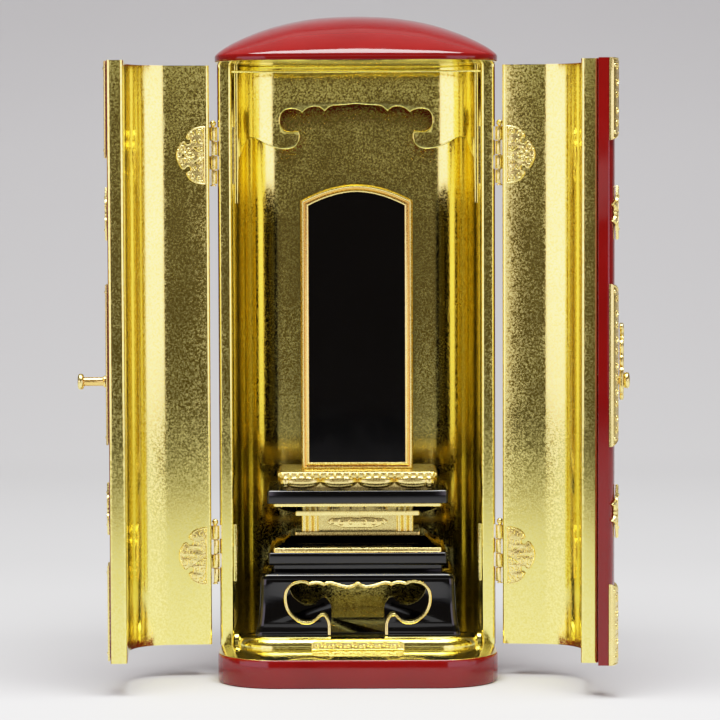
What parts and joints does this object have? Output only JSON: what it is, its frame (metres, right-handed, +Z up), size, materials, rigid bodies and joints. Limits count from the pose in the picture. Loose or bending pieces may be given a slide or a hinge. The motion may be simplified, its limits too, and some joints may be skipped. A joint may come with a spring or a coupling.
{
  "type": "household altar cabinet",
  "caption": "Lacquered household altar cabinet with domed roof, gilt inside, two wrap-round hinged doors, cusped valance and a blank memorial tablet on a tiered stand.",
  "frame": {"origin": "centre of the base's flat underside", "axes": "+Z up, -Y out of the doorway towards the front, +X to the right as seen from the front"},
  "size_m": [0.2171, 0.1556, 0.2702],
  "materials": {
    "red_lacquer": "polished red lacquer over wood",
    "gold_leaf": "gold leaf over lacquered wood, red lacquer on the outside",
    "black_lacquer": "polished black lacquer over wood, gilt on its fine edges",
    "gilt_brass": "gilt chased brass"
  },
  "bodies": {
    "cabinet": {"plinth": "red_lacquer", "cabinet_shell": "gold_leaf", "raised_floor": "gold_leaf", "lintel": "gold_leaf", "roof": "red_lacquer", "front_ornament": "gilt_brass", "valance": "gold_leaf", "left_upper_case_leaf": "gilt_brass", "left_upper_hinge_pin": "gilt_brass", "left_lower_case_leaf": "gilt_brass", "left_lower_hinge_pin": "gilt_brass", "right_upper_case_leaf": "gilt_brass", "right_upper_hinge_pin": "gilt_brass", "right_lower_case_leaf": "gilt_brass", "right_lower_hinge_pin": "gilt_brass", "tablet_foot": "black_lacquer", "tablet_lower_tiers": "black_lacquer", "tablet_waist": "gold_leaf", "tablet_upper_tiers": "black_lacquer", "tablet_petals": "gold_leaf", "tablet_board": "black_lacquer"},
    "left_door": {"left_door": "gold_leaf", "left_post": "gilt_brass", "left_top_fitting": "gilt_brass", "left_upper_flower": "gilt_brass", "left_centre_fitting": "gilt_brass", "left_lower_flower": "gilt_brass", "left_bottom_fitting": "gilt_brass", "left_upper_door_leaf": "gilt_brass", "left_lower_door_leaf": "gilt_brass"},
    "right_door": {"right_door": "gold_leaf", "right_post": "gilt_brass", "meeting_strip": "red_lacquer", "right_top_fitting": "gilt_brass", "right_upper_flower": "gilt_brass", "right_centre_fitting": "gilt_brass", "right_lower_flower": "gilt_brass", "right_bottom_fitting": "gilt_brass", "right_upper_door_leaf": "gilt_brass", "right_lower_door_leaf": "gilt_brass"},
    "latch": {"latch_plate": "gilt_brass"}
  },
  "joints": [
    {"name": "left_door_hinge", "type": "hinge", "parent": "cabinet", "child": "left_door", "pos_m": [-0.0586, -0.022, 0.13125], "axis": [0, 0, 1], "range_deg": [-88, 87]},
    {"name": "right_door_hinge", "type": "hinge", "parent": "cabinet", "child": "right_door", "pos_m": [0.0586, -0.022, 0.13125], "axis": [0, 0, 1], "range_deg": [-84, 91]},
    {"name": "latch_swing", "type": "hinge", "parent": "right_door", "child": "latch", "pos_m": [0.09481, -0.07548, 0.1237], "axis": [0.9945, -0.1045, 0], "range_deg": [0, 90]}
  ]
}
